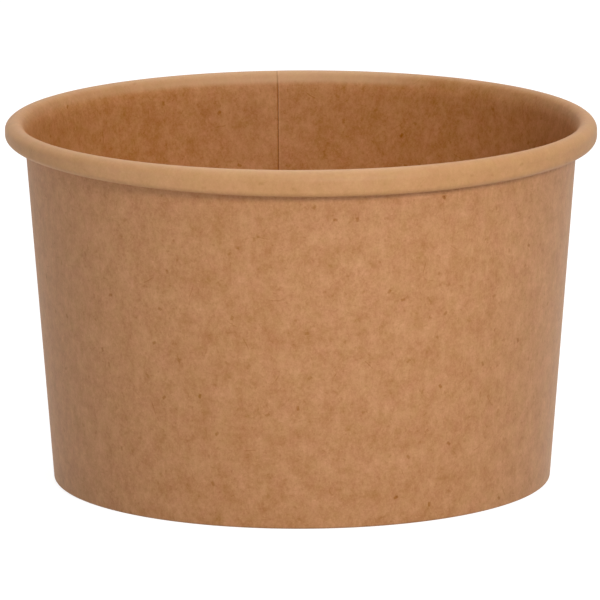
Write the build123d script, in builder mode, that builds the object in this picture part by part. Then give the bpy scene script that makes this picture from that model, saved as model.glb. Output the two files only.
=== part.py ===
"""Paper ice cream tub: a tapered wall with a rolled rim, and a drawn base disc held in its foot.

The wall is one blank of coated board, lapped and glued at the back. Its top edge is rolled outwards
and its foot is folded in and up, over the skirt of the base disc. The tub stands on the fold, with
its axis on Z and its front towards -Y.
"""

import os
from math import atan2, cos, degrees, radians, sin, tan

from build123d import *

# Driving sizes, in millimetres and degrees
rim_diameter = 96.0  # over the rolled rim
foot_diameter = 81.0  # over the wall, at the foot
height = 59.0  # from the foot to the top of the rim
board = 0.36  # thickness of the coated board

# Rolled rim
rim_height = 3.8  # from the top of the roll to its underside
rim_overhang = 3.27  # how far the roll stands out from the wall
rim_slope = 38.0  # fall of the roll's top towards the outside, in degrees
rim_tuck = 30.0  # rise of the roll's underside towards the wall, in degrees
tuck_clearance = 0.06  # between the roll's tucked edge and the lapped seam that passes it
flare_radius = 6.0  # of the slow bend below the rim, where the wall starts to lean out
flare_turn = 24.0  # of that bend, in degrees
inner_radius_share = 0.4  # of the roll's width, where the flare turns over into the roll
shoulder_radius_share = 0.19  # of the roll's width
lower_radius_share = 0.2  # of the roll's height

# Foot and base disc
floor_height = 6.5  # top of the floor above the foot
floor_bend = 0.35  # inside radius of the disc's drawn edge
fold_bend = 0.34  # outer radius of the two edges of the foot's fold
hem_clearance = 1.1  # between the folded-in hem and the floor's underside
seal_gap = 0.05  # glue line on each side of the disc's skirt

# Lapped seam at the back
seam_turn = 4.9  # from the back towards the left, to the inner layer's cut edge, in degrees
seam_overlap = 7.0  # width of the lap, measured round the rim
seam_ramp = 2.6  # run over which the outer layer comes down to the wall
seam_slit = 0.22  # width of the open line along the inner layer's cut edge
slit_depth_share = 0.55  # of the board's thickness
cut_overrun = 0.15  # how far a cut starts outside the surface it opens

# Worked-out sizes of the section
rim_radius = rim_diameter / 2
foot_radius = foot_diameter / 2
neck_radius = rim_radius - rim_overhang
taper = degrees(atan2(neck_radius - foot_radius, height - rim_height))
slant = tan(radians(taper))
slope = radians(rim_slope)
lean = radians(taper + flare_turn)  # of the board at the top of the flare
board_across = board / cos(radians(taper))  # the board's thickness along a level line
roll_width = rim_overhang + board_across
inner_radius = roll_width * inner_radius_share
shoulder_radius = roll_width * shoulder_radius_share
lower_radius = rim_height * lower_radius_share
floor_under = floor_height - board
hem_top = floor_under - hem_clearance


def wall_radius(level, depth=0.0):
    """Radius of the wall at a level, at a depth into the board from its inner face."""
    return foot_radius + level * slant - (board - depth) / cos(radians(taper))


def flare_start(depth):
    """Point where the wall starts to lean out, below the roll."""
    turn = radians(taper)
    level = height - inner_radius * (1 - sin(lean)) - flare_radius * (sin(lean) - sin(turn))
    return Vector(wall_radius(level) + depth * cos(turn), level - depth * sin(turn))


# Straight stretches of the roll, between its arcs
flare_run = flare_radius * (cos(radians(taper)) - cos(lean))
crown_radius = flare_start(0).X + flare_run + inner_radius * cos(lean)
top_run = rim_radius - shoulder_radius - crown_radius - (inner_radius - shoulder_radius) * sin(slope)
top_length = top_run / cos(slope)
top_drop = top_length * sin(slope) + (inner_radius - shoulder_radius) * (1 - cos(slope))
face_length = rim_height - lower_radius - shoulder_radius - top_drop
tuck_angle = radians(90 + rim_tuck)
tuck_level = height - rim_height + lower_radius * (1 - sin(tuck_angle))
tuck_start = rim_radius - lower_radius * (1 - cos(tuck_angle))
tuck_room = tuck_start - wall_radius(tuck_level, 2 * board) - tuck_clearance
tuck_run = tuck_room / (1 + slant * tan(radians(rim_tuck)))  # the lapped seam leans out as the tuck rises
tuck_length = tuck_run / cos(radians(rim_tuck))


def sheet_line(foot_point, depth):
    """Draw the board's line up the wall and round the rim, at a depth from its inner face."""
    wall = Line(foot_point, flare_start(depth))
    flare = JernArc(wall @ 1, wall % 1, flare_radius - depth, -flare_turn)
    inner = JernArc(flare @ 1, flare % 1, inner_radius - depth, -(90 - taper - flare_turn + rim_slope))
    top = PolarLine(inner @ 1, top_length, direction=inner % 1)
    shoulder = JernArc(top @ 1, top % 1, shoulder_radius - depth, -(90 - rim_slope))
    face = PolarLine(shoulder @ 1, face_length, direction=shoulder % 1)
    lower = JernArc(face @ 1, face % 1, lower_radius - depth, -(90 + rim_tuck))
    tuck = PolarLine(lower @ 1, tuck_length, direction=lower % 1)
    return tuck @ 1


# Points of the foot's fold, in the section: the board lies flat under the skirt's end
wall_out = Vector(cos(radians(taper)), -sin(radians(taper)))
skirt_depth = -seal_gap - board  # inner face of the disc's skirt
hem_depth = skirt_depth - seal_gap
skirt_end = board + seal_gap
hem_edge_inside = Vector(wall_radius(hem_top, hem_depth), hem_top)
hem_edge_outside = Vector(wall_radius(hem_top, hem_depth - board), hem_top)
fold_hem_corner = Vector(wall_radius(board, hem_depth), board)
fold_wall_corner = Vector(wall_radius(board), board)
foot_inner = Vector(wall_radius(0, hem_depth - board), 0)
foot_outer = Vector(foot_radius, 0)
fold_level = board + fold_bend  # where the wall stands clear of the fold
wall_foot = Vector(wall_radius(fold_level, board), fold_level)

# Seam: its angles round the axis, in degrees, and the slit's depth
seam_azimuth = 90 + seam_turn
lap_angle = degrees(seam_overlap / rim_radius)
ramp_angle = degrees(seam_ramp / rim_radius)
slit_angle = degrees(seam_slit / rim_radius)
slit_depth = board * slit_depth_share
lap_azimuth = seam_azimuth - lap_angle


def ramp_foot(level):
    """Point where the outer layer has come down to the wall."""
    turn = radians(seam_azimuth + ramp_angle)
    radius = wall_radius(level, board)
    return (radius * cos(turn), radius * sin(turn))


# Side wall: section of the board, turned round the axis
with BuildPart() as side_wall:
    with BuildSketch(Plane.XZ):
        with BuildLine():
            Polyline(hem_edge_inside, fold_hem_corner, fold_wall_corner)
            Line(sheet_line(fold_wall_corner, 0), sheet_line(wall_foot, board))
            FilletPolyline(wall_foot, foot_outer, foot_inner, hem_edge_outside, radius=fold_bend)
            Line(hem_edge_outside, hem_edge_inside)
        make_face()
    revolve(axis=Axis.Z)

    # Outer layer of the lapped seam, from the foot's fold up into the roll
    for level in (fold_level, height - rim_height / 2):
        with BuildSketch(Plane.XY.offset(level)):
            with BuildLine():
                lap_top = wall_radius(level, 2 * board)
                buried = wall_radius(level, board / 2)
                lap = CenterArc((0, 0), lap_top, lap_azimuth, lap_angle)
                root = CenterArc((0, 0), buried, lap_azimuth, lap_angle + ramp_angle)
                Line(lap @ 0, root @ 0)
                Polyline(lap @ 1, ramp_foot(level), root @ 1)
            make_face()
    loft(ruled=True)

    # Open line along the inner layer's cut edge, up the inside and over the roll
    with BuildSketch(Plane.XZ.rotated((0, 0, seam_azimuth))):
        with BuildLine():
            slit_face = fold_wall_corner - wall_out * cut_overrun
            slit_floor = fold_wall_corner + wall_out * slit_depth
            Line(slit_face, slit_floor)
            Line(sheet_line(slit_face, -cut_overrun), sheet_line(slit_floor, slit_depth))
        make_face()
    revolve(axis=Axis.Z, revolution_arc=slit_angle, mode=Mode.SUBTRACT)

side_wall.part.label = "side_wall"

# Base disc: flat floor with a drawn skirt between the wall and the hem
with BuildPart() as base_disc:
    with BuildSketch(Plane.XZ):
        with BuildLine():
            rim_corner = (wall_radius(floor_height, -seal_gap), floor_height)
            under_corner = (wall_radius(floor_under, skirt_depth), floor_under)
            skirt_outside = (wall_radius(skirt_end, -seal_gap), skirt_end)
            skirt_inside = (wall_radius(skirt_end, skirt_depth), skirt_end)
            upper = FilletPolyline((0, floor_height), rim_corner, skirt_outside, radius=floor_bend + board)
            under = FilletPolyline((0, floor_under), under_corner, skirt_inside, radius=floor_bend)
            Line(upper @ 0, under @ 0)
            Line(upper @ 1, under @ 1)
        make_face()
    revolve(axis=Axis.Z)

base_disc.part.label = "base_disc"

os.makedirs("parts", exist_ok=True)
export_step(side_wall.part, "parts/side_wall.step")
export_step(base_disc.part, "parts/base_disc.step")
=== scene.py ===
"""Paper ice cream tub in kraft board: a tapered wall with a rolled rim and a lapped seam, and a base disc.

Both pieces are swept again from the board's own line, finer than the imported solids, with the seam's step
and the board's raw cut edges. The sheet's flat layout carries the grain of the kraft.
"""

from math import atan2, cos, pi, radians, sin, tan

import bmesh
import bpy
import numpy as np
from mathutils import Matrix, Vector


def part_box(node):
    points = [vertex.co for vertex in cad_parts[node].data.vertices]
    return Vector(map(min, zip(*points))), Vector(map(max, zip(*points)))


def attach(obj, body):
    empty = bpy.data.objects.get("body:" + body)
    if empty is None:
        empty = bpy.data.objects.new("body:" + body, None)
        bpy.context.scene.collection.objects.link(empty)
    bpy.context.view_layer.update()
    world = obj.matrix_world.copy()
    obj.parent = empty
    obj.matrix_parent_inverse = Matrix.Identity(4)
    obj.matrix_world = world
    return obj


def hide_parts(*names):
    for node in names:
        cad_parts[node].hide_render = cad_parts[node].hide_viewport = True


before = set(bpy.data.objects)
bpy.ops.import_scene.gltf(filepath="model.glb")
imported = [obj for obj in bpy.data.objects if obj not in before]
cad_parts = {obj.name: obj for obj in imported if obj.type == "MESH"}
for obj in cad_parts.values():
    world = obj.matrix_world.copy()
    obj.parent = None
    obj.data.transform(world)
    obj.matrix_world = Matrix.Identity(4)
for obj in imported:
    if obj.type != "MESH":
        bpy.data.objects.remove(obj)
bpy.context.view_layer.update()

# Sizes of the tub, in metres and degrees, by the names that the part's source gives them
rim_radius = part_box("side_wall")[1].x
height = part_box("side_wall")[1].z
floor_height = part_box("base_disc")[1].z
foot_radius = 0.0405
board = 0.00036
rim_height = 0.0038
rim_overhang = 0.00327
rim_slope = 38.0
rim_tuck = 30.0
flare_radius = 0.006
flare_turn = 24.0
tuck_clearance = 0.00006
inner_radius_share = 0.4
shoulder_radius_share = 0.42  # rounder than in the solid, within 0.1 mm of it
lower_radius_share = 0.2
floor_bend = 0.00035
hem_clearance = 0.0011
seal_gap = 0.00005
seam_turn = 4.9
seam_overlap = 0.007
seam_ramp = 0.0026

# Sizes that only the dressed tub has
crease = 0.00003  # inside radius of the foot's two folds
cut_slant = 0.00004  # run of a cut edge round the tub
seam_step_share = 0.45  # of the board, left as a step at the inner layer's cut edge
pressed_share = 0.1  # of that step, left where the roll has pressed it flat
seam_line = 0.0002  # width of the painted shade line in the corner beside that edge
fray_highlight_width = 0.00018  # width of the painted highlight, with pale fibres, along that edge
end_radius_share = 0.36  # of the roll's height, for its lower radius at the tub's two ends
roll_growth = 0.03  # of the roll's height, added all round
rim_unevenness = 0.093  # of the roll's height, added on its tallest side
tallest_azimuth = 15  # of the roll, in degrees from +X
end_drop = 0.077  # of the roll's height, taken off at the two ends
sharp_angle = 40  # in degrees, from which the edge between two faces is shown sharp
weld_distance = 0.000003  # within which the points in the middle of the disc are joined

# Rows of the meshes along the board's line, and their columns round the tub
hem_rows, crease_rows, fold_rows, panel_rows = 6, 6, 2, 24
flare_rows, inner_rows, crown_rows, shoulder_rows, lower_rows = 8, 14, 5, 12, 18
straight_rows = 3  # of each straight stretch of the roll
floor_rows, drawn_rows, skirt_rows = 30, 10, 6
wall_columns, ramp_columns, disc_columns = 360, 8, 288
line_columns = (0.35, 0.7, 1.0, 1.5, 2.0)  # beside the seam's edge, in widths of the painted shade line

# Kraft: its two faces, and how their colour changes
plain_colour = (0.466, 0.212, 0.08)
coated_colour = (0.482, 0.206, 0.063)
highlight_pale_colour = (0.51, 0.275, 0.123)  # painted highlight on the top of the roll and up the flare, with the pallor of the board stretched over the roll
shade_shift = (0.456, 0.303, 0.208)  # change of colour with the tone
blush_shift = (0.022, -0.03, 0.01)  # between yellower and pinker patches
plain_surface = (0.62, 1.5, 0.1)  # roughness, refractive index and fuzz
coated_surface = (0.55, 1.36, 0)
fuzz_tint = (1, 0.9, 0.74)  # of the sheen on loose fibres
roughness_swing = 0.2  # added to the roughness with the formation
relief, relief_strength = 0.00006, 0.3  # of the paper's surface

# Kraft: patterns on the sheet, with sizes in metres and weights in the tone
formation_size, formation_weight = 0.0038, 0.9
formation_noise = (4.5, 0.92)  # detail and roughness
formation_stretch = (1.08, 0.88, 1)  # across and up the front of the wall
fleck_size, fleck_weight = 0.0018, -0.15
fleck_noise = (2.5, 0.6)
fleck_range = (0.15, 0.3)  # of the noise, from no fleck to a full one
dark_fibre, dark_fibre_weight = (0.0013, 0.0008, 0.00026), -0.09  # spacing, length and width
pale_fibre, pale_fibre_weight = (0.0013, 0.0006, 0.0003), 0.08
hair, hair_weight = (0.009, 0.0024, 0.00022), -0.2
speck, speck_weight = (0.0075, 0.0009, 0.0006), -0.3
fibre_bow = 1.6  # between the curves of the fibres that bend most to either side
fibre_core = (1 / 2, 1 / 3)  # of a fibre's length and width, at its full strength
blush_size = 0.0042
blush_noise = (3.0, 0.75)
fleck_spread, blush_spread = 1.13, 1.21  # of the sheet under a pattern, so that no two fall into step
pale_fibre_spread, hair_spread, speck_spread = 1.07, 0.96, 0.93
highlight_pale_calm = 0.35  # of the patterns, left under the painted highlight's pale colour

# Raw cut edges
cut_colour = (0.42, 0.25, 0.13)
streak_colour = (0.62, 0.41, 0.24)
streak_size = 0.0004
streak_noise = (3.0, 0.7)
streak_range = (-0.3, 0.3)  # of the noise, from no streak to a full one
cut_roughness = 0.85
cut_relief, cut_relief_strength = 0.00005, 0.4

# Painted light and shade on the wall's inner face: what is added to its tone, and where
seam_shade_tone = -0.25  # painted shade in the corner beside the seam's step
seam_shade_core = 0.6  # of that line's width, at its full strength
fray_highlight_tone = 0.12  # painted highlight along the cut edge, with its pale fibres
flare_painted_light = 0.3  # painted light, as a band at the lower edge of the flare
roll_left_light = 0.1  # painted light on the left of the roll
face_highlight_paling = 0.7  # of the painted highlight's pale colour, left on the outside of the roll
highlight_paling_start, highlight_paling_run = 0.15, 0.28  # shares of the flare, up which the painted highlight's pale colour grows
band_fade = 0.7  # of the painted light band, lost on the way up the flare
band_end, band_end_run = 0.52, 0.22  # at the band's right end, in rim radii from the middle
band_shade_dip = 0.3  # of the band's tone, taken off beyond its ends as painted shade
left_run = 0.5  # from the middle to where the left of the roll has its full painted light, in rim radii

# Studio: levels of the floor and the sky, where 1 is white
floor_half = 3.0  # metres
floor_shade = 0.3  # of the light that falls on the floor, shown to the eye
floor_glow = 0.88  # added to it, which leaves the tub's shadow as the only grey
floor_grey = 0.5  # of the light that falls on the floor, sent back to the tub
sky_light, sky_shown = 0.2, 1.0  # to the tub and to the eye

# Lamps: azimuth and elevation in degrees, distance, width and height in metres, and power in watts
lamps = {
    "key": (20, 22, 0.42, 0.16, 0.07, 0.78),
    "low": (15, 3, 1.6, 1.2, 0.11, 2.35),
    "fill": (-60, 4, 0.3, 0.12, 0.03, 0.092),
    "side": (78, 4, 0.5, 0.2, 0.03, 0.13),
    "top": (30, 70, 1.6, 1.4, 1.2, 7),
    "back": (180, 60, 1.6, 1.2, 1.0, 11),
}

# Photograph's camera, in metres and degrees
camera_distance = 1.309
camera_elevation = 11.32
camera_aim = Vector((-0.00025, 0, 0.02899))
camera_roll = -0.18
camera_lens, camera_sensor = 482.2, 36  # millimetres
camera_clip = (0.05, 20)

# Worked-out sizes of the section
taper = atan2(rim_radius - rim_overhang - foot_radius, height - rim_height)
slope = radians(rim_slope)
tuck = radians(rim_tuck)
flare = radians(flare_turn)
roll_width = rim_overhang + board / cos(taper)
inner_radius = roll_width * inner_radius_share
shoulder_radius = roll_width * shoulder_radius_share
floor_under = floor_height - board
hem_top = floor_under - hem_clearance
skirt_depth = -seal_gap - board
hem_depth = skirt_depth - seal_gap
skirt_end = board + seal_gap


def wall_radius(level, depth=0.0):
    """Radius of the wall at a level, at a depth into the board from its inner face."""
    return foot_radius + level * tan(taper) - (board - depth) / cos(taper)


lean = taper + flare  # of the board where the flare ends
flare_level = height - flare_radius * (sin(lean) - sin(taper)) - inner_radius * (1 - sin(lean))
crown_radius = wall_radius(flare_level) + flare_radius * (cos(taper) - cos(lean)) + inner_radius * cos(lean)
top_run = rim_radius - shoulder_radius - crown_radius - (inner_radius - shoulder_radius) * sin(slope)
top_length = top_run / cos(slope)
top_drop = top_length * sin(slope) + (inner_radius - shoulder_radius) * (1 - cos(slope))


class BoardLine:
    """A walk along the board's inner face, in the section, noting its points and the way into the board."""

    def __init__(self, radius, level, heading):
        self.point = np.array((radius, level))
        self.heading = heading
        self.travel = 0.0
        self.points, self.into, self.travels = [], [], []
        self.note()

    def note(self):
        self.points.append(self.point)
        self.into.append((sin(self.heading), -cos(self.heading)))
        self.travels.append(self.travel)

    def step(self, length, travel, turn=0.0):
        self.heading += turn / 2
        self.point = self.point + length * np.array((cos(self.heading), sin(self.heading)))
        self.heading += turn / 2
        self.travel += travel
        self.note()

    def ahead(self, length, rows):
        for _ in range(rows):
            self.step(length / rows, length / rows)
        return self

    def bend(self, turn, radius, rows):
        """Turn to the left, or to the right where the turn is negative."""
        part = turn / rows
        for _ in range(rows):
            self.step(2 * radius * sin(abs(part) / 2), radius * abs(part), part)
        return self


# Wall's line: down the hem, round the foot's fold, up the wall and over the rim
hem_bend = pi / 2 + taper
wall_bend = pi / 2 - taper
hem_tangent = crease * tan(hem_bend / 2)
wall_tangent = crease * tan(wall_bend / 2)


def draw_wall(lower_radius):
    """Draw the wall's line, and find the rows where the wall, the flare, the roll and its face start."""
    line = BoardLine(wall_radius(hem_top, hem_depth), hem_top, -hem_bend)
    line.ahead((hem_top - board) / cos(taper) - hem_tangent, hem_rows).bend(hem_bend, crease, crease_rows)
    fold_width = wall_radius(board) - wall_radius(board, hem_depth)
    line.ahead(fold_width - hem_tangent - wall_tangent, fold_rows).bend(wall_bend, crease, crease_rows)
    rows = [len(line.points)]
    line.ahead((flare_level - board) / cos(taper) - wall_tangent, panel_rows)
    rows.append(len(line.points))
    line.bend(-flare, flare_radius, flare_rows).bend(lean - pi / 2, inner_radius, inner_rows)
    rows.append(len(line.points))
    line.bend(-slope, inner_radius, crown_rows).ahead(top_length, straight_rows)
    line.bend(slope - pi / 2, shoulder_radius, shoulder_rows)
    rows.append(len(line.points))

    tuck_level = height - rim_height + lower_radius * (1 - cos(tuck))
    tuck_start = rim_radius - lower_radius * (1 + sin(tuck))
    tuck_room = tuck_start - wall_radius(tuck_level, 2 * board) - tuck_clearance
    line.ahead(rim_height - lower_radius - shoulder_radius - top_drop, straight_rows)
    line.bend(-pi / 2 - tuck, lower_radius, lower_rows)
    line.ahead(tuck_room / (1 + tan(taper) * tan(tuck)) / cos(tuck), straight_rows)
    return line, rows


wall_line, (foot_row, flare_row, crown_row, face_row) = draw_wall(rim_height * lower_radius_share)
end_line, _ = draw_wall(rim_height * end_radius_share)

# Disc's line: from the centre of the floor, over its drawn edge and down the skirt
disc_radius = floor_bend + board
disc_tangent = disc_radius * tan(hem_bend / 2)
disc_line = BoardLine(0, floor_height, 0)
disc_line.ahead(wall_radius(floor_height, -seal_gap) - disc_tangent, floor_rows)
disc_line.bend(-hem_bend, disc_radius, drawn_rows)
disc_line.ahead((floor_height - skirt_end) / cos(taper) - disc_tangent, skirt_rows)


def smooth(share):
    """Ease from 0 to 1 with no corner at either end."""
    share = np.clip(share, 0, 1)
    return share * share * (3 - 2 * share)


def board_face(line, lift):
    """Section points of a face of the board, lifted off its line by so much at each row and each angle."""
    return np.array(line.points)[:, None] + np.array(line.into)[:, None] * lift[..., None]


def sweep(name, line, inner_face, outer_face, azimuths, sheet_start, sheet_turn):
    """Turn the board's two faces round the axis as one closed mesh, with its flat sheet as a UV map.

    The sheet's layout is polar: its radius grows with the travel along the board's line.
    """
    section = np.concatenate((inner_face, outer_face[::-1]))
    rows, columns = section.shape[:2]
    angles = azimuths - azimuths[0]
    radii, levels = section[..., 0], section[..., 1]
    vertices = np.stack((radii * np.cos(azimuths), radii * np.sin(azimuths), levels), -1)

    row, column = np.divmod(np.arange(rows * columns), columns)
    next_row, next_column = (row + 1) % rows, (column + 1) % columns
    corners = np.stack((row * columns + column, next_row * columns + column,
                        next_row * columns + next_column, row * columns + next_column), -1)
    mesh = bpy.data.meshes.new(name)
    mesh.from_pydata(vertices.reshape(-1, 3), [], corners)

    # Flat layouts: the sheet in metres for the grain, and one that fills a square for baking
    travel = np.concatenate((line.travels, line.travels[::-1]))
    side = np.repeat((0.0, 1.0), rows // 2)
    around = np.append(angles, 2 * pi)
    corner_rows = np.stack((row, next_row, next_row, row), -1).ravel()
    corner_columns = np.stack((column, column, column + 1, column + 1), -1).ravel()
    radius = sheet_start + travel[corner_rows]
    turn = sheet_turn * around[corner_columns]
    sheet = np.stack((radius * np.sin(turn) + side[corner_rows], radius * np.cos(turn)), -1)
    steps = np.diff(section[:, 0], axis=0, append=section[:1, 0])
    strip = np.cumsum(np.append(0, np.linalg.norm(steps, axis=1)))
    strip_rows = np.stack((row, row + 1, row + 1, row), -1).ravel()
    square = np.stack((around[corner_columns] / (2 * pi), strip[strip_rows] / strip[-1]), -1)
    for layer, places in (("Sheet", sheet), ("OFBake", square)):
        mesh.uv_layers.new(name=layer).uv.foreach_set("vector", places.astype(np.float32).ravel())

    mesh.shade_smooth()
    piece = bpy.data.objects.new(name, mesh)
    bpy.context.scene.collection.objects.link(piece)
    return piece, row, column


# Columns of the wall, as angles from the seam's inner cut edge towards the left
ramp_angle = seam_ramp / rim_radius
lap_start = 2 * pi - seam_overlap / rim_radius
slant_angle = cut_slant / rim_radius
line_angle = seam_line / rim_radius
fray_highlight_angle = fray_highlight_width / rim_radius
wall_angles = np.unique(np.concatenate((
    np.linspace(0, 2 * pi, wall_columns, endpoint=False),
    line_angle * np.array(line_columns),
    ramp_angle * np.linspace(0, 1, ramp_columns + 1),
    (lap_start - slant_angle, lap_start),
    (2 * pi - 2 * fray_highlight_angle, 2 * pi - fray_highlight_angle, 2 * pi - slant_angle),
)))

# Seam: the outer layer steps out over the inner one's edge, and ends as a lap on the outside
ramp = 1 - smooth(wall_angles / ramp_angle)
lap = np.maximum(ramp, wall_angles >= lap_start - slant_angle / 2)
travels = np.array(wall_line.travels)
flare_at, crown_at, face_at = travels[flare_row], travels[crown_row], travels[face_row]
flare_place = (travels - flare_at) / (crown_at - flare_at)
lap_rise = smooth((travels - travels[foot_row]) / (2 * board))
pressed = 1 - (1 - pressed_share) * smooth(flare_place)
inner_lift = (lap_rise * pressed)[:, None] * ramp * board * seam_step_share
outer_lift = board + lap_rise[:, None] * lap * board
wall_azimuths = radians(90 + seam_turn) + wall_angles

# Roll: rounder underneath at the tub's two ends, and not the same height all round
ends = (np.cos(wall_azimuths) ** 2)[:, None]
wall_faces = [
    board_face(wall_line, lift) * (1 - ends) + board_face(end_line, lift) * ends
    for lift in (inner_lift, outer_lift)
]
swell = roll_growth + rim_unevenness * np.cos(wall_azimuths - radians(tallest_azimuth))
swell -= end_drop * np.cos(2 * wall_azimuths)
for face in wall_faces:
    face[crown_row:, :, 1] -= (height - face[crown_row:, :, 1]) * swell

wall_sheet_start = wall_radius(board) / sin(taper) - travels[foot_row]
side_wall, wall_row, wall_column = sweep(
    "side_wall_board", wall_line, *wall_faces, wall_azimuths, wall_sheet_start, sin(taper))

# Disc: the same board all round
disc_azimuths = np.linspace(0, 2 * pi, disc_columns, endpoint=False)
disc_rows = len(disc_line.points)
disc_lifts = [np.full((disc_rows, disc_columns), depth) for depth in (0.0, board)]
disc_faces = [board_face(disc_line, lift) for lift in disc_lifts]
base_disc, disc_row, _ = sweep("base_disc_board", disc_line, *disc_faces, disc_azimuths, 0, 1)


class Tree:
    """Shorthand for a material's nodes."""

    def __init__(self, owner):
        owner.use_nodes = True
        self.nodes, self.links = owner.node_tree.nodes, owner.node_tree.links
        self.nodes.clear()

    def add(self, kind, inputs, **settings):
        node = self.nodes.new("ShaderNode" + kind)
        for name, value in settings.items():
            setattr(node, name, value)
        for name, value in inputs.items():
            if isinstance(value, bpy.types.NodeSocket):
                self.links.new(value, node.inputs[name])
            else:
                node.inputs[name].default_value = value
        return node

    def math(self, operation, first, second=0.0, third=0.0):
        return self.add("Math", {0: first, 1: second, 2: third}, operation=operation).outputs[0]

    def ramp(self, value, low, high, to_low=0.0, to_high=1.0):
        """Ease a value from one range to another."""
        inputs = {"Value": value, "From Min": low, "From Max": high, "To Min": to_low, "To Max": to_high}
        return self.add("MapRange", inputs, interpolation_type="SMOOTHSTEP").outputs[0]

    def scale(self, vector, factor):
        return self.add("VectorMath", {0: vector, "Scale": factor}, operation="SCALE").outputs[0]

    def turn(self, vector, angle):
        inputs = {"Vector": vector, "Angle": angle}
        return self.add("VectorRotate", inputs, rotation_type="Z_AXIS").outputs[0]

    def noise(self, place, size, detail, roughness):
        """Even noise about zero, of patches about as large as the size given."""
        inputs = {"Vector": place, "Scale": 1 / size, "Detail": detail, "Roughness": roughness}
        value = self.add("TexNoise", inputs, noise_dimensions="2D").outputs[0]
        return self.math("SUBTRACT", value, 0.5)

    def mix(self, factor, first, second):
        """Mix two colours."""
        return self.add("Mix", {0: factor, 6: (*first, 1), 7: (*second, 1)}, data_type="RGBA").outputs[2]

    def fibres(self, place, spacing, length, width):
        """Short fibres lying every way, one to a cell, each with its own strength."""
        at = self.scale(place, 1 / spacing)
        cells = self.add("TexVoronoi", {"Vector": at, "Scale": 1.0}, voronoi_dimensions="2D")
        middle = cells.outputs["Position"]
        offset = self.add("VectorMath", {0: at, 1: middle}, operation="SUBTRACT").outputs[0]
        chance = self.add("SeparateColor", {0: cells.outputs["Color"]}).outputs
        turned = self.turn(offset, self.math("MULTIPLY", chance[0], pi))
        along, across = self.add("SeparateXYZ", {0: turned}).outputs[:2]
        bow = self.math("MULTIPLY", self.math("SUBTRACT", chance[1], 0.5), fibre_bow)
        across = self.math("ADD", across, self.math("MULTIPLY", bow, self.math("MULTIPLY", along, along)))
        half_length, half_width = length / 2 / spacing, width / 2 / spacing
        core_length, core_width = fibre_core
        thin = self.ramp(self.math("ABSOLUTE", across), half_width, half_width * core_width)
        short = self.ramp(self.math("ABSOLUTE", along), half_length, half_length * core_length)
        return self.math("MULTIPLY", self.math("MULTIPLY", thin, short), chance[2])


def kraft(name, colour, roughness, gloss, fuzz):
    """Brown kraft: an uneven formation at every scale, fibres lying every way, and a few dark specks."""
    material = bpy.data.materials.new(name)
    tree = Tree(material)
    place = tree.add("UVMap", {}, uv_map="Sheet").outputs[0]

    upright = tree.turn(place, pi * sin(taper))
    upright = tree.add("VectorMath", {0: upright, 1: formation_stretch}, operation="MULTIPLY").outputs[0]
    formation = tree.noise(upright, formation_size, *formation_noise)
    fleck_clouds = tree.noise(tree.scale(place, fleck_spread), fleck_size, *fleck_noise)
    flecks = tree.ramp(fleck_clouds, *fleck_range)
    dark_fibres = tree.fibres(place, *dark_fibre)
    pale_fibres = tree.fibres(tree.scale(place, pale_fibre_spread), *pale_fibre)
    hairs = tree.fibres(tree.scale(place, hair_spread), *hair)
    specks = tree.fibres(tree.scale(place, speck_spread), *speck)
    tone = tree.math("MULTIPLY", formation, formation_weight)
    patterns = ((flecks, fleck_weight), (dark_fibres, dark_fibre_weight), (pale_fibres, pale_fibre_weight),
                (hairs, hair_weight), (specks, speck_weight))
    for pattern, weight in patterns:
        tone = tree.math("MULTIPLY_ADD", pattern, weight, tone)

    # Painted light and shade that the wall's own places add to the tone, and the paint that comes of it
    highlight_pale = tree.add("Attribute", {}, attribute_name="highlight_pale").outputs["Fac"]
    painted_shift = tree.add("Attribute", {}, attribute_name="painted_light_shift").outputs["Fac"]
    tone = tree.math("MULTIPLY_ADD", tone, tree.ramp(highlight_pale, 0, 1, 1, highlight_pale_calm), painted_shift)
    blush = tree.noise(tree.scale(place, blush_spread), blush_size, *blush_noise)
    # Painted highlight: the pale colour on the top of the roll and up the flare
    paint = tree.mix(highlight_pale, colour, highlight_pale_colour)
    for amount, change in ((tone, shade_shift), (blush, blush_shift)):
        paint = tree.add("VectorMath", {0: amount, 1: change, 2: paint}, operation="MULTIPLY_ADD").outputs[0]

    rough = tree.math("MULTIPLY_ADD", formation, roughness_swing, roughness)
    bump = tree.add("Bump", {"Height": tone, "Strength": relief_strength, "Distance": relief}).outputs[0]
    looks = {"Base Color": paint, "Roughness": rough, "IOR": gloss, "Normal": bump}
    sheen = {"Sheen Weight": fuzz, "Sheen Tint": (*fuzz_tint, 1)}
    shader = tree.add("BsdfPrincipled", {**looks, **sheen})
    tree.add("OutputMaterial", {"Surface": shader.outputs[0]})
    return material


def raw_edge(name):
    """Board cut through: paler, with streaks of fibre along the cut."""
    material = bpy.data.materials.new(name)
    tree = Tree(material)
    place = tree.add("UVMap", {}, uv_map="Sheet").outputs[0]
    streaks = tree.ramp(tree.noise(place, streak_size, *streak_noise), *streak_range)
    paint = tree.mix(streaks, cut_colour, streak_colour)
    raised = {"Height": streaks, "Strength": cut_relief_strength, "Distance": cut_relief}
    bump = tree.add("Bump", raised).outputs[0]
    shader = tree.add("BsdfPrincipled", {"Base Color": paint, "Roughness": cut_roughness, "Normal": bump})
    tree.add("OutputMaterial", {"Surface": shader.outputs[0]})
    return material


# Materials: the board's coated face is the tub's inside, the outside of the roll and the top of the disc
cut_board = raw_edge("cut_board")
coated_kraft = kraft("coated_kraft", coated_colour, *coated_surface)
plain_kraft = kraft("plain_kraft", plain_colour, *plain_surface)
surfaces = (coated_kraft, plain_kraft, cut_board)
for piece in (side_wall, base_disc):
    for surface in surfaces:
        piece.data.materials.append(surface)


def paint_faces(piece, is_plain, is_cut):
    """Give each face its material, by its place among the surfaces."""
    place = np.where(is_cut, surfaces.index(cut_board), np.where(is_plain, surfaces.index(plain_kraft), 0))
    piece.data.polygons.foreach_set("material_index", place.astype(np.int32))


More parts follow.
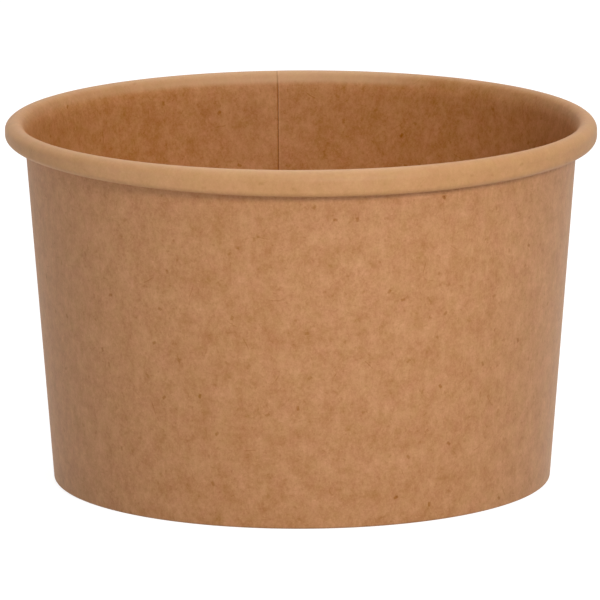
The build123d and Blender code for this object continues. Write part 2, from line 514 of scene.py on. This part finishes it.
# Raw cut edges: the two ends of the board's line, and the two edges of the lap
wall_rows = len(wall_line.points)
last_column = len(wall_angles) - 1
lap_column = int(np.searchsorted(wall_angles, lap_start)) - 1
is_cut = np.isin(wall_row, (wall_rows - 1, 2 * wall_rows - 1))
is_cut |= (wall_row < wall_rows) & (wall_column == last_column)
is_cut |= (wall_row >= wall_rows) & (wall_column == lap_column)
paint_faces(side_wall, wall_row >= wall_rows, is_cut)
paint_faces(base_disc, disc_row >= disc_rows, disc_row == disc_rows - 1)

# Painted light and shade on the wall's inner face: painted shade beside the seam's step, a painted highlight
# with pale fibres along its cut edge, a painted light band on the flare, and painted light on the left of
# the roll
# Painted shade: a dark line in the corner beside the seam's step
seam_shade = seam_shade_tone * (1 - smooth((wall_angles - line_angle * seam_shade_core) / line_angle))
# Painted highlight on the corner of the inner layer's cut edge, with its pale fibres
fray_highlight = fray_highlight_tone * smooth((wall_angles - 2 * pi + 2 * fray_highlight_angle) / fray_highlight_angle)
highlight_paling = smooth((flare_place - highlight_paling_start) / highlight_paling_run)
rolling = smooth((travels - crown_at) / (face_at - crown_at))
# Painted light: a band up the flare, dimmed beyond its ends with painted shade
painted_band = (highlight_paling * np.clip(1 - band_fade * flare_place, 0, 1))[:, None]
across = np.cos(wall_azimuths)
band_side = smooth((band_end - across) / band_end_run) * (1 - ends[:, 0])
left_side = smooth(-across / left_run)
tone = np.zeros((2 * wall_rows, len(wall_angles)), np.float32)
tone[:wall_rows] = seam_shade + fray_highlight + flare_painted_light * painted_band * ((1 + band_shade_dip) * band_side - band_shade_dip)
# Painted light on the left of the roll
tone[:wall_rows] += roll_left_light * rolling[:, None] * left_side
# Painted highlight on the flare and the roll, less on the roll's face and beyond the band's ends
highlight_pale = np.zeros_like(tone)
highlight_pale[:wall_rows] = (highlight_paling - (1 - face_highlight_paling) * rolling)[:, None] - painted_band * (1 - band_side)
for name, values in (("painted_light_shift", tone), ("highlight_pale", highlight_pale)):
    side_wall.data.attributes.new(name, "FLOAT", "POINT").data.foreach_set("value", values.ravel())

# Middle of the disc: one point on the axis for each face of the board
grid = bmesh.new()
grid.from_mesh(base_disc.data)
bmesh.ops.remove_doubles(grid, verts=grid.verts, dist=weld_distance)
grid.to_mesh(base_disc.data)
grid.free()

for piece, node, slot in ((side_wall, "side_wall", "kraft_board"), (base_disc, "base_disc", "base_board")):
    piece.data.set_sharp_from_angle(angle=radians(sharp_angle))
    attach(piece, "root")
    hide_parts(node)

# Floor: white to the eye, with the tub's soft shadow, and a plain grey in the light that it sends back
floor_mesh = bpy.data.meshes.new("floor")
floor_corners = [(floor_half * x, floor_half * y, 0) for x, y in ((-1, -1), (1, -1), (1, 1), (-1, 1))]
floor_mesh.from_pydata(floor_corners, [], [(0, 1, 2, 3)])
floor = bpy.data.objects.new("floor", floor_mesh)
bpy.context.scene.collection.objects.link(floor)


def grey(level):
    return (level, level, level, 1)


def shown_to_eye(tree):
    """1 for the rays that show the floor and the sky to the camera, else 0."""
    path = tree.add("LightPath", {}).outputs
    seen = 0.0
    for kind in ("Camera", "Glossy", "Transmission"):
        kinds = {0: seen, 1: path[f"Is {kind} Ray"]}
        seen = tree.add("Math", kinds, operation="ADD", use_clamp=True).outputs[0]
    return seen


floor_paint = bpy.data.materials.new("floor_white")
tree = Tree(floor_paint)
shade = tree.add("BsdfDiffuse", {"Color": grey(floor_shade)}).outputs[0]
white = tree.add("Emission", {"Color": grey(floor_glow), "Strength": 1.0}).outputs[0]
shown = tree.add("AddShader", {0: shade, 1: white}).outputs[0]
plain = tree.add("BsdfDiffuse", {"Color": grey(floor_grey)}).outputs[0]
upper = tree.add("MixShader", {0: shown_to_eye(tree), 1: plain, 2: shown}).outputs[0]
clear = tree.add("BsdfTransparent", {}).outputs[0]
under = tree.add("NewGeometry", {}).outputs["Backfacing"]
both = tree.add("MixShader", {0: under, 1: upper, 2: clear}).outputs[0]
tree.add("OutputMaterial", {"Surface": both})
floor_mesh.materials.append(floor_paint)

# Surroundings: white to the eye, and an even sky for the light
sky = bpy.data.worlds.new("studio")
bpy.context.scene.world = sky
tree = Tree(sky)
level = tree.ramp(shown_to_eye(tree), 0, 1, sky_light, sky_shown)
glow = tree.add("Background", {"Color": grey(1), "Strength": level})
tree.add("OutputWorld", {"Surface": glow.outputs[0]})


def soft_light(name, azimuth, elevation, distance, width, tall, power):
    """A flat lamp that faces the tub. Azimuth 0 is the front, and it grows towards the right."""
    lamp = bpy.data.lights.new(name, "AREA")
    lamp.shape = "RECTANGLE"
    lamp.size, lamp.size_y = width, tall
    lamp.energy = power
    holder = bpy.data.objects.new(name, lamp)
    turn, rise = radians(azimuth), radians(elevation)
    away = Vector((sin(turn) * cos(rise), -cos(turn) * cos(rise), sin(rise)))
    holder.location = away * distance + Vector((0, 0, height / 2))
    holder.rotation_euler = away.to_track_quat("Z", "Y").to_euler()
    bpy.context.scene.collection.objects.link(holder)


for name, values in lamps.items():
    soft_light(name, *values)

# Camera of the photograph
camera = bpy.data.cameras.new("camera")
camera.lens = camera_lens
camera.sensor_width = camera_sensor
camera.clip_start, camera.clip_end = camera_clip
eye = bpy.data.objects.new("camera", camera)
rise = radians(camera_elevation)
eye.location = camera_aim + camera_distance * Vector((0, -cos(rise), sin(rise)))
tilt = Matrix.Rotation(pi / 2 - rise, 3, "X") @ Matrix.Rotation(radians(camera_roll), 3, "Z")
eye.rotation_euler = tilt.to_euler()
bpy.context.scene.collection.objects.link(eye)
bpy.context.scene.camera = eye

bpy.context.scene.view_settings.view_transform = "Standard"
